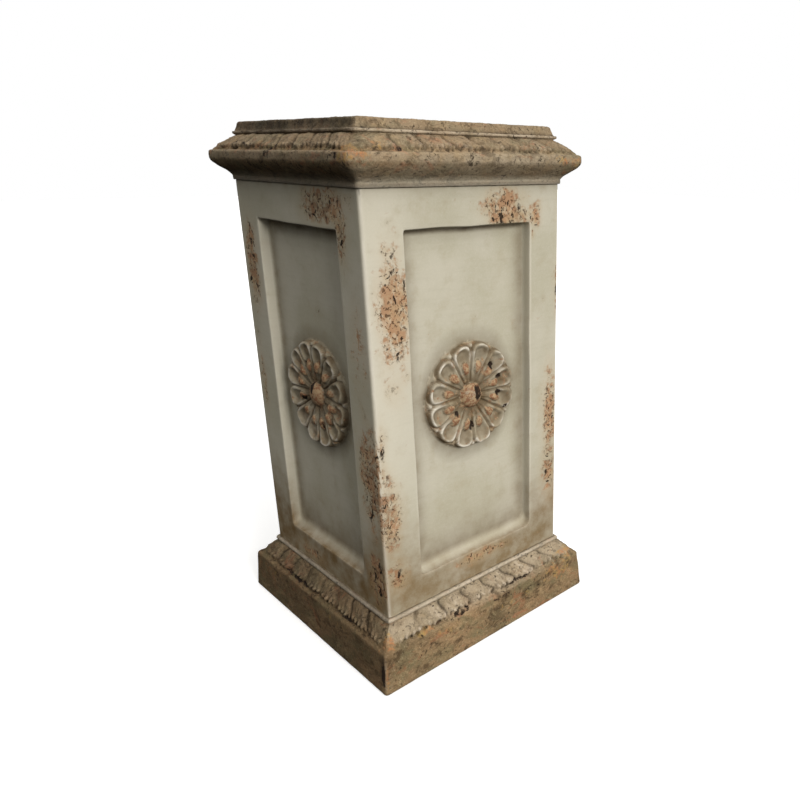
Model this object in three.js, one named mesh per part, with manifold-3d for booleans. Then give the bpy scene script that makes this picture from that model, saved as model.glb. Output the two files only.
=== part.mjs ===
// Square pedestal column cast in one piece: plinth, leaf band, panelled shaft with a rosette on
// each face, moulded cap with a second leaf band, and a top slab.
// Millimetres, +Z up, origin at the middle of the underside, front face towards -Y.
import * as THREE from 'three';
import { mergeVertices } from 'three/addons/utils/BufferGeometryUtils.js';
import Module from 'manifold-3d';

// Levels of the stages above the floor
const plinthTop = 65;
const baseBandTop = 88;
const beadTop = 95.5;
const shaftHead = 680.5;
const filletTop = 685.5;
const fasciaFoot = 710;
const fasciaTop = 722;
const capBandTop = 742.5;
const ledgeTop = 746;
const columnTop = 760;

// Half widths of the square section at those stages
const plinthFootHalf = 202;
const plinthHeadHalf = 198;
const baseBandHeadHalf = 170;
const beadHalf = 174.5;
const shaftHalf = 167.5;
const filletHalf = 170.5;
const fasciaHalf = 193.5;
const capBandHeadHalf = 163.5;
const ledgeHalf = 166.5;
const slabFootHalf = 164;
const slabHeadHalf = 161.5;

// Rounded edges and hollows of the mouldings
const footChamfer = 3;
const plinthRound = 5;
const ledgeChamfer = 1;
const slabRound = 4;
const fasciaRound = 4.5;
const cymaHollow = 2.5;
const cymaReach = 12;
const curveSteps = 3;

// Recessed panel on each face, with coved walls
const panelHalfWidth = 108;
const panelFoot = 139;
const panelHead = 629;
const panelDepth = 16;
const panelWallRun = 7;
const panelCornerRound = 5;
const panelCornerSteps = 2;
const panelWallSteps = 2;
const panelCutClearance = 40;

// Rosette in the middle of each panel, measured up from the panel's floor
const rosetteRadius = 78;
const petalCount = 12;
const petalSteps = 4;
const rosetteRings = [1, 0.84, 0.66, 0.54, 0.4, 0.22];
const rosetteEmbed = 4;
const rimHeight = 10;
const bowlHeight = 5;
const scoopStart = 0.3;
const scoopDepth = 4.5;
const petalNotch = 0.11;
const bossHeight = 5;
const bossCentre = 0.53;
const bossReach = 0.14;
const domeRadius = 20;
const domeHeight = 14;
const domeSides = 12;
const domeSteps = 2;
const pearlRadius = 5.5;
const pearlCircle = 0.95;
const pearlLevel = 6.5;
const pearlSides = 4;
const pearlSteps = 3;

// Bands of leaves on the plinth and under the top slab
const leavesPerSide = 8;
const leafColumns = 4;
const leafRows = 3;
const leafRelief = 4.5;
const leafVeins = 3;
const veinShare = 0.22;
const leafHeadShare = 0.35;
const leafCrest = 0.75;
const leafLip = 4;
const leafBedding = 5;
const bandBulge = 3;

const sides = 4;
const weldDistance = 1e-4;
const panelCentre = (panelFoot + panelHead) / 2;
const resin = new THREE.MeshStandardMaterial({
  color: 0xb8ae98,
  roughness: 0.75,
  metalness: 0,
  flatShading: true,
});

const wasm = await Module();
wasm.setup();

// A closed solid from a geometry, with shared corners welded and collapsed triangles dropped.
function solidOf(geometry) {
  const bare = new THREE.BufferGeometry();
  bare.setAttribute('position', geometry.getAttribute('position'));
  bare.setIndex(geometry.getIndex());
  const welded = mergeVertices(bare, weldDistance);
  const corners = welded.getIndex().array;
  const triangles = [];
  for (let i = 0; i < corners.length; i += 3) {
    const [a, b, c] = corners.slice(i, i + 3);
    if (a !== b && b !== c && c !== a) triangles.push(a, b, c);
  }
  return new wasm.Manifold(new wasm.Mesh({
    numProp: 3,
    vertProperties: new Float32Array(welded.getAttribute('position').array),
    triVerts: new Uint32Array(triangles),
  }));
}

// Moves every vertex of a geometry by a function that changes the point it is given.
function reshape(geometry, move) {
  const position = geometry.getAttribute('position');
  const point = new THREE.Vector3();
  for (let i = 0; i < position.count; i++) {
    point.fromBufferAttribute(position, i);
    move(point);
    position.setXYZ(i, point.x, point.y, point.z);
  }
  return geometry;
}

// Turns over the diagonals of a grid's quads where the test on a quad's middle holds, so that the
// facets on the two halves of a leaf or a petal mirror each other.
function turnDiagonals(geometry, test) {
  const corners = geometry.getIndex().array;
  const position = geometry.getAttribute('position');
  const middle = new THREE.Vector3();
  const corner = new THREE.Vector3();
  for (let i = 0; i < corners.length; i += 6) {
    const [a, b, d] = corners.slice(i, i + 3);
    const c = corners.slice(i + 3, i + 6).find((v) => v !== b && v !== d);
    middle.set(0, 0, 0);
    for (const v of [a, b, c, d]) middle.add(corner.fromBufferAttribute(position, v));
    if (test(middle.divideScalar(4))) corners.set([a, b, c, a, c, d], i);
  }
  return geometry;
}

// Place within one of a run of equal units, from -1 at one edge to 1 at the other.
function acrossUnit(units) {
  return 2 * (units - Math.floor(units)) - 1;
}

// Stands a geometry drawn facing +Z, with +Y up, on a plane of the front face.
function facingFront(geometry, outward, level) {
  return geometry.rotateX(Math.PI / 2).translate(0, -outward, level);
}

// Bed of a leaf band: a convex curve from its head to its foot, as half width and level.
function bandBed(head, foot) {
  const outward = new THREE.Vector2(head.y - foot.y, foot.x - head.x).normalize();
  const middle = head.clone().lerp(foot, 0.5).addScaledVector(outward, 2 * bandBulge);
  return new THREE.QuadraticBezierCurve(head, middle, foot);
}

const baseBed = bandBed(
  new THREE.Vector2(baseBandHeadHalf, baseBandTop),
  new THREE.Vector2(plinthHeadHalf - plinthRound, plinthTop),
);
const capBed = bandBed(
  new THREE.Vector2(capBandHeadHalf, capBandTop),
  new THREE.Vector2(fasciaHalf - fasciaRound, fasciaTop),
);

// Section of the column as half width and level, from the middle of the underside to that of the top.
function columnSection() {
  const section = new THREE.Path();
  section.moveTo(0, 0);
  section.lineTo(plinthFootHalf - footChamfer, 0);
  section.lineTo(plinthFootHalf, footChamfer);
  section.lineTo(plinthHeadHalf, plinthTop - plinthRound);
  section.quadraticCurveTo(plinthHeadHalf, plinthTop, baseBed.v2.x, baseBed.v2.y);
  section.lineTo(baseBed.v0.x, baseBed.v0.y);
  section.lineTo(beadHalf, baseBandTop);
  section.quadraticCurveTo(beadHalf, beadTop, shaftHalf, beadTop);
  section.lineTo(shaftHalf, shaftHead);
  section.lineTo(filletHalf, shaftHead);
  section.lineTo(filletHalf, filletTop);
  section.bezierCurveTo(
    filletHalf + cymaHollow, filletTop + cymaReach,
    fasciaHalf - cymaHollow, fasciaFoot - cymaReach,
    fasciaHalf, fasciaFoot,
  );
  section.lineTo(fasciaHalf, fasciaTop - fasciaRound);
  section.quadraticCurveTo(fasciaHalf, fasciaTop, capBed.v2.x, capBed.v2.y);
  section.lineTo(capBed.v0.x, capBed.v0.y);
  section.lineTo(ledgeHalf, capBandTop);
  section.lineTo(ledgeHalf, ledgeTop - ledgeChamfer);
  section.lineTo(slabFootHalf, ledgeTop);
  section.lineTo(slabHeadHalf, columnTop - slabRound);
  section.quadraticCurveTo(slabHeadHalf, columnTop, slabHeadHalf - slabRound, columnTop);
  section.lineTo(0, columnTop);
  return section.getPoints(curveSteps);
}

// The plain column: its section carried round a square.
function plainColumn() {
  const corners = columnSection().map((p) => new THREE.Vector2(p.x * Math.SQRT2, p.y));
  return new THREE.LatheGeometry(corners, sides, Math.PI / sides).rotateX(Math.PI / 2);
}

// Tool that sinks a panel: its floor outline, widened by a quarter round up to the face.
function panelCutter() {
  const halfWidth = panelHalfWidth - panelWallRun;
  const halfHeight = (panelHead - panelFoot) / 2 - panelWallRun;
  const inX = halfWidth - panelCornerRound;
  const inY = halfHeight - panelCornerRound;
  const floor = new THREE.Shape();
  floor.absarc(inX, inY, panelCornerRound, 0, Math.PI / 2);
  floor.absarc(-inX, inY, panelCornerRound, Math.PI / 2, Math.PI);
  floor.absarc(-inX, -inY, panelCornerRound, Math.PI, 1.5 * Math.PI);
  floor.absarc(inX, -inY, panelCornerRound, 1.5 * Math.PI, 2 * Math.PI);
  const cutter = new THREE.ExtrudeGeometry(floor, {
    depth: panelCutClearance,
    curveSegments: panelCornerSteps,
    bevelThickness: panelDepth,
    bevelSize: panelWallRun,
    bevelSegments: panelWallSteps,
  });
  return facingFront(cutter, shaftHalf, panelCentre);
}

// Place across the petal that a point of the rosette lies in.
function acrossPetal(point) {
  return acrossUnit((Math.atan2(point.y, point.x) / (2 * Math.PI)) * petalCount);
}

// Height of the rosette at a share of its radius, across a petal from edge to edge (-1 to 1):
// a bowl that rises to the rim, less a scoop in each petal, plus the boss at the scoop's root.
function petalHeight(ring, across) {
  const bowl = bowlHeight + (rimHeight - bowlHeight) * ring ** 2;
  const run = Math.max(0, (ring - scoopStart) / (1 - scoopStart));
  const scoop = scoopDepth * (1 - across ** 2) * Math.sin(Math.PI * run);
  const bossAlong = Math.max(0, 1 - ((ring - bossCentre) / bossReach) ** 2);
  const bossAcross = Math.max(0, 1 - (2 * across) ** 2);
  return bowl - scoop + bossHeight * bossAlong * bossAcross;
}

// Disc of petals: a turned disc whose face is scooped and whose edge is notched between petals.
function petalDisc() {
  const turned = [new THREE.Vector2(0, -rosetteEmbed), new THREE.Vector2(1, -rosetteEmbed)];
  rosetteRings.forEach((ring) => turned.push(new THREE.Vector2(ring, 0)));
  turned.push(new THREE.Vector2(0, 0));
  const disc = new THREE.LatheGeometry(turned, petalCount * petalSteps).rotateX(Math.PI / 2);
  turnDiagonals(disc, (middle) => acrossPetal(middle) > 0);
  return reshape(disc, (point) => {
    const ring = Math.hypot(point.x, point.y);
    const across = acrossPetal(point);
    const reach = rosetteRadius * (1 - petalNotch * ring * across ** 2);
    const isFace = point.z > -rosetteEmbed / 2;
    point.set(point.x * reach, point.y * reach, isFace ? petalHeight(ring, across) : point.z);
  });
}

// Button in the middle of the rosette: a turned quarter ellipse.
function dome() {
  const turned = [new THREE.Vector2(0, -rosetteEmbed), new THREE.Vector2(domeRadius, -rosetteEmbed)];
  const crown = new THREE.EllipseCurve(0, bowlHeight, domeRadius, domeHeight - bowlHeight, 0, Math.PI / 2);
  turned.push(...crown.getPoints(domeSteps));
  turned[turned.length - 1].x = 0;
  return new THREE.LatheGeometry(turned, domeSides).rotateX(Math.PI / 2);
}

// Pearl between two petals.
function pearl(index) {
  const angle = (index * 2 * Math.PI) / petalCount;
  const out = rosetteRadius * pearlCircle;
  return new THREE.SphereGeometry(pearlRadius, pearlSides, pearlSteps)
    .rotateX(Math.PI / 2)
    .rotateZ(angle)
    .translate(out * Math.cos(angle), out * Math.sin(angle), pearlLevel);
}

// All the pieces of one rosette, on the floor of the front panel.
function rosette() {
  const pieces = [petalDisc(), dome()];
  for (let i = 0; i < petalCount; i++) pieces.push(pearl(i));
  return pieces.map((piece) => facingFront(piece, shaftHalf - panelDepth, panelCentre));
}

// Place across the leaf that a point of a unit-long row lies in.
function acrossLeaf(point) {
  return acrossUnit((point.x + 0.5) * leavesPerSide);
}

// Height of a leaf over its bed, across it from edge to edge (-1 to 1) and down it (0 to 1):
// nothing at the grooves between leaves, a middle rib and two side lobes, fullest near the foot.
function leafHeight(across, down) {
  const veined = 1 - veinShare * (1 - Math.cos(leafVeins * Math.PI * across));
  const crest = Math.sin((Math.PI / 2) * Math.min(1, down / leafCrest));
  const body = (1 - across ** 6) * (leafHeadShare + (1 - leafHeadShare) * crest);
  return leafRelief * veined * body;
}

// A row of leaves along the front, mitred at the corners: a slab bent over its bed.
function leafBand(bed) {
  const row = new THREE.BoxGeometry(1, 1, 1, leavesPerSide * leafColumns, leafRows, 1);
  turnDiagonals(row, (middle) => acrossLeaf(middle) > 0);
  return reshape(row, (point) => {
    const along = 2 * point.x;
    const down = 0.5 - point.y;
    const across = acrossLeaf(point);
    const slope = bed.getTangent(down);
    const spot = bed.getPoint(down).addScaledVector(slope, leafLip * (1 - across ** 2) * down ** 2);
    const rise = point.z > 0 ? leafHeight(across, down) : -leafBedding;
    const half = spot.x - slope.y * rise;
    point.set(along * half, -half, spot.y + slope.x * rise);
  });
}

// The column with its panels sunk and its rosettes and leaves added on all sides.
function carvedColumn() {
  const onFront = [...rosette(), leafBand(baseBed), leafBand(capBed)];
  let column = solidOf(plainColumn());
  for (let side = 0; side < sides; side++) {
    const turn = (side * 2 * Math.PI) / sides;
    column = column.subtract(solidOf(panelCutter().rotateZ(turn)));
    for (const piece of onFront) column = column.add(solidOf(piece.clone().rotateZ(turn)));
  }
  const { vertProperties, triVerts } = column.getMesh();
  const geometry = new THREE.BufferGeometry();
  geometry.setAttribute('position', new THREE.BufferAttribute(vertProperties, 3));
  geometry.setIndex(new THREE.BufferAttribute(triVerts, 1));
  geometry.computeVertexNormals();
  return geometry;
}

const column = new THREE.Mesh(carvedColumn(), resin);
column.name = 'resin_column';

const part = new THREE.Group();
part.add(column);

export default part;
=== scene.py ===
import bmesh
import bpy
import numpy as np
from mathutils import Matrix, Vector


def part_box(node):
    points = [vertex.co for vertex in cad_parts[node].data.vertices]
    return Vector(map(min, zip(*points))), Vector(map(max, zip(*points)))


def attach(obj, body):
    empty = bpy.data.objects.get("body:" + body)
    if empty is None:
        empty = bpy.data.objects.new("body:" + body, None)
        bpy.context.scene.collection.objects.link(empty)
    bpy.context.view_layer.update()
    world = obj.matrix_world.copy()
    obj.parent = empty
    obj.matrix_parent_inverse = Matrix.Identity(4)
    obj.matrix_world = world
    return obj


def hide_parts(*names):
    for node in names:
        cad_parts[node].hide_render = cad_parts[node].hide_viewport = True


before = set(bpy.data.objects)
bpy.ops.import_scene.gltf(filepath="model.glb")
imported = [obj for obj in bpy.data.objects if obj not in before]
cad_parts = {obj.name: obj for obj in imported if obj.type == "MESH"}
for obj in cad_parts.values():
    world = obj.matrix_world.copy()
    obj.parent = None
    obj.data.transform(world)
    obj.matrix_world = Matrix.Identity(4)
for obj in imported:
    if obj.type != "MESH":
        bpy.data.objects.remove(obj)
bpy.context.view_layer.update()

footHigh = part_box("resin_column")[1]

# The casting is worked out in millimetres and written to its mesh in metres.
footHalf = footHigh.x * 1000
columnTop = footHigh.z * 1000
quarterTurns = 4
coarseCells = 40    # cells along one side of a plain moulding
fineCells = 200     # cells along one side of a carved band


def ease(low, high, value):
    # 0 below low, 1 above high, and 3t^2 - 2t^3 between them
    t = np.clip((value - low) / (high - low), 0, 1)
    return t * t * (3 - 2 * t)


def bell(value, middle, width):
    # exp(-(distance from the middle / width)^2)
    return np.exp(-((value - middle) / width) ** 2)


def lattice(points, size, seed):
    # a hashed number from -1 to 1 at each corner of a cubic lattice, eased between the corners
    cell = points / size
    low = np.floor(cell)
    t = cell - low
    t = t * t * (3 - 2 * t)
    low = low.astype(np.int64)
    total = np.zeros(points.shape[:-1])
    for step in np.ndindex(2, 2, 2):
        at = low + np.array(step)
        key = at @ np.array([374761393, 668265263, 1440662683]) + seed * 1013904223
        key = key & 0xffffffff
        key = ((key ^ (key >> 13)) * 1274126177) & 0xffffffff
        number = (key ^ (key >> 16)) / 0xffffffff
        total += number * np.prod(np.where(step, t, 1 - t), axis=-1)
    return total * 2 - 1


def mottle(points, size, seed, octaves=3):
    # lattice noise summed over octaves, each half as large and half as strong as the last
    layers = [lattice(points, size / 2 ** k, seed + k) / 2 ** k for k in range(octaves)]
    return sum(layers) / (2 - 2 ** (1 - octaves))


def straight(start, end, shares):
    # points at shares of the way along a straight line
    shares = np.asarray(shares, float)[:, None]
    return np.asarray(start) * (1 - shares) + np.asarray(end) * shares


def bend(start, pull, end, shares):
    # points of a quadratic curve that leaves start and reaches end towards the pull point
    t = np.asarray(shares, float)[:, None]
    return (1 - t) ** 2 * np.asarray(start) + 2 * t * (1 - t) * np.asarray(pull) + t ** 2 * np.asarray(end)


def sway(start, pullA, pullB, end, shares):
    # points of a cubic curve with two pull points
    t = np.asarray(shares, float)[:, None]
    first = (1 - t) ** 3 * np.asarray(start) + 3 * t * (1 - t) ** 2 * np.asarray(pullA)
    return first + 3 * t ** 2 * (1 - t) * np.asarray(pullB) + t ** 3 * np.asarray(end)


def outwardOf(section):
    # unit normals of a section that runs upwards: its tangent turned a quarter turn outwards
    along = np.gradient(section, axis=0)
    along /= np.linalg.norm(along, axis=1)[:, None]
    return np.stack([along[:, 1], -along[:, 0]], axis=1)


columnForm = dict(
    plinthHead=198.0, plinthTop=65.0, plinthRound=5.0, footRound=3.0, plinthCorner=4.0,
    bandHead=170.0, bandTop=89.5, beadHalf=173.0, beadTop=95.5, bandCorner=7.0,
    shaftHalf=167.5, shaftHead=680.5, shaftCorner=5.0,
    filletHalf=170.5, filletTop=685.5, fasciaHalf=193.5, fasciaFoot=710.0, fasciaTop=722.0,
    fasciaRound=5.0, fasciaCorner=8.0,
    capBandHead=163.5, capBandTop=742.5, ledgeHalf=167.2, ledgeTop=747.0, slabCorner=8.0,
    slabFoot=164.0, slabHead=161.0, slabRound=5.0, bandBulge=2.0,
)
leafForm = dict(
    leaves=8, height=2.4, overlap=1.6, ribs=5, ribHeight=0.5, grooveDepth=3.4, grooveWidth=0.1,
    lipLow=0.87, leans=(0.3, 0.18, 0.22, 0.06), pitDepth=3.8, lobes=4, lobeHeight=3.0,
)
panelForm = dict(
    halfWidth=108.0, foot=139.0, head=629.0, depth=16.0, wallRun=8.0, footRun=15.0,
    headCorner=3.0, footCorners=(6.0, 12.0), arris=1.5,
)
rosetteForm = dict(
    radius=79.0, level=388.0, petals=12, plate=3.6, rootLevel=6.0, rimLevel=12.2, rollRadius=3.4,
    edgeShare=0.36, scoop=4.4,
    bossAt=0.55, bossLong=0.13, bossWide=0.092, bossHeight=5.4, pearlAt=0.94, pearlRadius=5.0, pearlLevel=4.2,
    domeRadius=18.5, domeFoot=4.0, domeHeight=10.5, endRadius=0.3, cornerSoft=9.0,
)
cf, lf, pf, rf = columnForm, leafForm, panelForm, rosetteForm


def bandBed(head, foot, places):
    # quadratic curve from head (0) to foot (1) of a band, bowed outwards by the bulge
    head, foot = np.array(head), np.array(foot)
    outward = np.array([head[1] - foot[1], foot[0] - head[0]])
    middle = (head + foot) / 2 + 2 * cf["bandBulge"] * outward / np.linalg.norm(outward)
    return bend(head, middle, foot, places)


def columnsOf(cells):
    # for the lines along one side: share of the straight run (-1 to 1) and turn into the corner in radians
    perCell = cells // coarseCells
    turn = np.linspace(np.pi / 4, 0, perCell + 1)[:-1]
    run = np.linspace(-1, 1, cells - 2 * perCell + 1)
    share = np.concatenate([-np.ones(perCell), run, np.ones(perCell)])
    turned = np.concatenate([-turn, np.zeros(len(run)), turn[::-1]])
    return share, turned


def onSide(share, turned, half, corner):
    # a point of a square's front side with rounded corners: straight run plus corner arc, as across and out
    across = share * (half - corner) + corner * np.sin(turned)
    out = half - corner + corner * np.cos(turned)
    return across, out


def roundSides(across, out, level):
    # the front side's points repeated on all four sides, each a quarter turn on from the last
    turns = [(across, -out), (out, across), (-across, out), (-out, -across)]
    return np.concatenate([np.stack([x, y, level], axis=-1) for x, y in turns], axis=-2)


def spots(across, level, marks):
    # largest of a set of soft ellipses, each with its middle, half width, half height and strength
    total = np.zeros(np.broadcast(across, level).shape)
    for atAcross, atLevel, wide, high, strength in marks:
        far = ((across - atAcross) / wide) ** 2 + ((level - atLevel) / high) ** 2
        total = np.maximum(total, strength * np.exp(-far ** 1.5))
    return total


def leafRelief(place, along, down, side):
    # overlapping leaves in a row: low bodies 1 - across^5 parted by narrow leaning slits, cosine ribs,
    # and a scalloped lip with pits under it
    lean = np.choose(side, lf["leans"])
    free = 1 - np.abs(along) ** 10
    curl = lean * (down - 0.3) - 0.07 * np.sin(2 * np.pi * down) - 0.06 * mottle(place, 16, 31)
    spot = (along + 1) / 2 * lf["leaves"] - free * curl
    across = 2 * (spot - np.floor(spot)) - 1
    wide = np.abs(across)
    ripple = mottle(place, 12, 57, 2)
    swell = 0.55 + 0.45 * np.sin(np.pi * (0.1 + 0.7 * down))
    body = (1 - wide ** 5) * swell + lf["overlap"] / lf["height"] * 0.5 * across
    fan = np.cos(np.pi * lf["ribs"] * across * (0.8 + 0.2 * down) + 3.2 * ripple)
    ribs = lf["ribHeight"] * fan * ease(0.04, 0.3, down) + 0.7 * mottle(place, 6, 63, 2)
    slit = bell(wide, 1, lf["grooveWidth"] * (1 + 0.4 * ripple)) * ease(0.0, 0.12, down)
    slit = slit * (1 - 0.8 * ease(0.6, 0.95, down))
    slit = slit * ease(-0.9, -0.2, mottle(place, 60, 77, 1))
    lip = lf["lipLow"] + 0.03 * fan - 0.1 * wide ** 3 + 0.09 * ripple
    onLeaf = 1 - ease(lip - 0.04, lip + 0.05, down)
    lobe = np.cos(2 * np.pi * lf["lobes"] * spot + 4 * ripple)
    curled = bell(down, lip - 0.1, 0.08) * ease(-0.4, 0.6, lobe)
    pits = bell(down, lip + 0.02, 0.06) * ease(-0.1, 0.5, mottle(place, 7, 91, 2) - 0.45 * lobe)
    tuck = 1.2 * bell(down, 0, 0.06)
    height = (lf["height"] * body + ribs + lf["lobeHeight"] * curled) * onLeaf
    height = height - lf["grooveDepth"] * slit - lf["pitDepth"] * pits - tuck
    # the second value is painted shade in the slits, the pits under the lip and the tuck under the bead, with faint
    # darkening between the ribs
    hollow = np.clip(slit * 1.6 + pits * 1.4 + 0.12 * (0.5 - 0.5 * fan) * onLeaf + 0.5 * bell(down, 0, 0.04), 0, 1)
    return height, hollow, onLeaf


def petalRelief(x, y):
    # twelve cone-shaped petals on a plate: distance inside the outline gives rolled rims and a scoop,
    # then a drop-shaped boss on each, pearls between them and a dome in the middle
    radius = rf["radius"]
    half = np.pi / rf["petals"]
    reach = np.hypot(x, y)
    turn = np.arctan2(y, x) / (2 * half)
    off = (turn - np.floor(turn) - 0.5) * 2 * half
    px, py = reach * np.cos(off), np.abs(reach * np.sin(off))
    fromSide = px * np.sin(half) - py * np.cos(half)
    fromEnd = rf["endRadius"] * radius - np.hypot(np.maximum(px - (1 - rf["endRadius"]) * radius, 0), py)
    overlap = np.clip(1 - np.abs(fromSide - fromEnd) / rf["cornerSoft"], 0, 1)
    inside = np.minimum(fromSide, fromEnd) - overlap ** 2 * rf["cornerSoft"] / 4
    ring = reach / radius
    level = rf["rootLevel"] + (rf["rimLevel"] - rf["rootLevel"]) * ease(0.2, 1.0, ring)
    roll = np.clip(inside / rf["rollRadius"], 0, 1)
    scoop = rf["scoop"] * ease(0.4, 0.75, ring) * ease(rf["rollRadius"], rf["rollRadius"] + 7, inside)
    rounded = rf["edgeShare"] + (1 - rf["edgeShare"]) * np.sqrt(1 - (1 - roll) ** 2)
    petal = level * rounded - scoop + 1.2 * bell(py, 0, 1.1) * (1 - ease(0.36, 0.46, ring))
    edge = level * rf["edgeShare"]
    plate = rf["plate"] + (edge - rf["plate"]) * np.exp(np.minimum(inside, 0) / 1.1)
    height = np.where(inside > 0, petal, plate)
    along = (px / radius - rf["bossAt"]) / rf["bossLong"]
    taper = rf["bossWide"] * (0.85 + 0.25 * np.clip(along, -1, 1))
    bossShare = np.clip(1 - along ** 2 - (py / (radius * taper)) ** 2, 0, 1)
    height = height + rf["bossHeight"] * np.sqrt(bossShare)
    pearl = np.hypot(px - rf["pearlAt"] * radius * np.cos(half), py - rf["pearlAt"] * radius * np.sin(half))
    bead = rf["pearlLevel"] + np.sqrt(np.clip(rf["pearlRadius"] ** 2 - pearl ** 2, 0, None))
    height = np.where(pearl < rf["pearlRadius"], np.maximum(height, bead), height)
    dome = rf["domeFoot"] + rf["domeHeight"] * np.sqrt(np.clip(1 - (reach / rf["domeRadius"]) ** 2, 0, 1))
    height = np.where(reach < rf["domeRadius"], dome, height)
    height = height - 1.6 * bell(reach, rf["domeRadius"] + 1.2, 1.3)
    # painted highlight on the rolled rims and the pearls
    rim = bell(inside, rf["rollRadius"] * 0.9, 1.3) * ease(0.55, 0.9, ring) + 0.6 * bell(pearl, 0, 2.5)
    scooped = ease(rf["rollRadius"], rf["rollRadius"] + 4, inside)
    # brown glaze together with painted shade in the grooves at the petals' edges, the scoops, round the dome, in the
    # inner ribs and round the bosses
    cavity = 1.2 * bell(inside, 0, 1.5) + 0.35 * scooped + bell(reach, 21, 4)
    cavity = cavity + 0.55 * (1 - ease(0.34, 0.52, ring)) + 0.9 * bell(bossShare, 0.06, 0.14) * (bossShare > 0)
    hollow = np.clip(cavity * (1 - ease(0.15, 0.55, bossShare)), 0, 1) * (reach > rf["domeRadius"])
    rub = 0.42 + 0.5 * ease(0.1, 0.5, bossShare) + 0.35 * (reach < rf["domeRadius"])
    return height, rim, hollow, np.clip(rub, 0, 1)


# vertices, faces and masks of all the pieces of surface, joined at the end
points, faces, masks = [], [], []
# Masks carried on the points: stone or paint; a brown glaze in recesses together with painted shade (cast shadows,
# darkened creases and slits, and darker mouldings on the shaded left side); worn paint together with painted
# highlights on rims, ridges and corners; rubbed-through ground; flaked paint; chips; an umber wash low down with
# painted shade added on the left side; pale paint together with painted light on the faces turned to the lamp.
maskNames = ["ornament", "hollow", "ridge", "rub", "flake", "chip", "stain", "pale"]


def addPoints(place, **mask):
    # keeps the points with their masks and returns their numbers
    place = place.reshape(-1, 3)
    first = sum(len(p) for p in points)
    points.append(place)
    values = [np.asarray(mask.get(name, 0.0), float).reshape(-1) for name in maskNames]
    columns = [np.broadcast_to(value, len(place)) for value in values]
    masks.append(np.stack(columns, axis=1))
    return np.arange(first, first + len(place))


def addRows(place, masksHere):
    # keeps rows of points one by one, each with its row of every mask
    return [addPoints(row, **{name: value[k] for name, value in masksHere.items()}) for k, row in enumerate(place)]


def joinLoops(lower, upper):
    # quads between two closed loops of as many points each
    faces.extend(np.stack([lower, np.roll(lower, -1), np.roll(upper, -1), upper], axis=1).tolist())


def joinAll(loops):
    for lower, upper in zip(loops, loops[1:]):
        joinLoops(lower, upper)


def fanLoops(coarse, fine):
    # faces between a coarse loop and a fine one, each with one coarse edge and several fine ones
    ratio = len(fine) // len(coarse)
    ahead = np.concatenate([fine, fine[:1]])
    runs = np.stack([ahead[k:len(fine) - ratio + k + 1:ratio] for k in range(ratio, -1, -1)], axis=1)
    faces.extend(np.column_stack([coarse, np.roll(coarse, -1), runs]).tolist())


def sweep(section, cells, corner):
    # a section carried round a square with rounded corners: one loop of points for each point of the section
    share, turned = columnsOf(cells)
    half, level = section[:, :1], section[:, 1:]
    across, out = onSide(share[None, :-1], turned[None, :-1], half, np.reshape(corner, (-1, 1)))
    return roundSides(across, out, np.broadcast_to(level, across.shape))


def carve(place, section, depth):
    # moves the points of a swept section along its outward normal by depth
    normal = outwardOf(section)
    flat = np.abs(place[..., :2])
    sideways = np.sign(place[..., :2]) * flat / np.max(flat, axis=-1, keepdims=True)
    moved = place.copy()
    moved[..., :2] += sideways * normal[:, None, :1] * depth[..., None]
    moved[..., 2] += normal[:, None, 1] * depth
    return moved


def sideOf(cells):
    # number of the side each point of a loop lies on
    return np.repeat(np.arange(quarterTurns), cells)


def alongSide(place, cells):
    # distance along its own side of each point of a loop, from the side's middle
    side = sideOf(cells)
    return np.choose(side, [place[..., 0], place[..., 1], -place[..., 0], -place[..., 1]])


def worn(place, amount, seed, size=14):
    # erosion in millimetres: broad wear, fine grain and pocks where a noise peaks, more of it at the corners
    broad = mottle(place, size, seed)
    fine = mottle(place, size / 4, seed + 11, 2)
    pock = ease(0.3, 0.7, mottle(place, size / 2.5, seed + 23, 2))
    low = np.min(np.abs(place[..., :2]), axis=-1) / np.max(np.abs(place[..., :2]), axis=-1)
    corner = ease(0.9, 1.0, low) * ease(-0.3, 0.5, mottle(place, 30, seed + 31, 2))
    return -amount * (0.5 + 0.5 * broad + 0.4 * fine + 0.9 * pock + 0.7 * corner)


# Marks on the cap and the base for each side, as middle across, middle level, half width, half height and strength.
capMarks = dict(
    rub={0: [(-186, 720, 18, 12, 1), (-150, 727, 16, 7, 0.9), (158, 713, 44, 9, 1), (20, 716, 60, 5, 0.4)],
         1: [(-120, 716, 40, 7, 0.8), (90, 712, 30, 6, 0.7)],
         2: [(150, 716, 40, 8, 0.8), (-60, 720, 40, 6, 0.6)],
         3: [(182, 718, 18, 14, 1), (-150, 715, 30, 6, 0.4)]},
    chip={0: [(-120, 724, 6, 4, 0.6)], 2: [(30, 724, 8, 5, 0.8)],
          3: [(-4, 718, 9, 9, 1), (10, 727, 6, 5, 0.9), (60, 726, 6, 4, 0.8), (165, 716, 5, 6, 0.8),
              (-90, 730, 60, 5, 0.45), (80, 729, 50, 5, 0.5)]},
    # Dark marks, painted shade: a line on the front's cyma, a band along the cyma and a wash over the cap on the
    # right and back, and on the shaded left side a dark slab, a darker cyma band and a wash
    hollow={0: [(0, 708, 230, 3, 0.3)], 1: [(0, 692, 230, 5, 0.4), (0, 725, 400, 60, 0.2)],
            2: [(0, 692, 230, 5, 0.4), (0, 725, 400, 60, 0.2)],
            3: [(-20, 754, 260, 13, 0.9), (0, 691, 600, 11, 0.48), (0, 725, 900, 60, 0.2)]},
    # Pale marks: worn stone together with painted light on the front's near corner, fascia and cyma, and on the left
    # side's near corner
    pale={0: [(-175, 752, 16, 14, 1), (-178, 695, 16, 12, 0.8), (40, 714, 190, 9, 1.0), (0, 696, 220, 12, 0.8)],
          3: [(172, 752, 10, 14, 0.9), (178, 694, 10, 12, 0.8)]},
)
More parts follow.
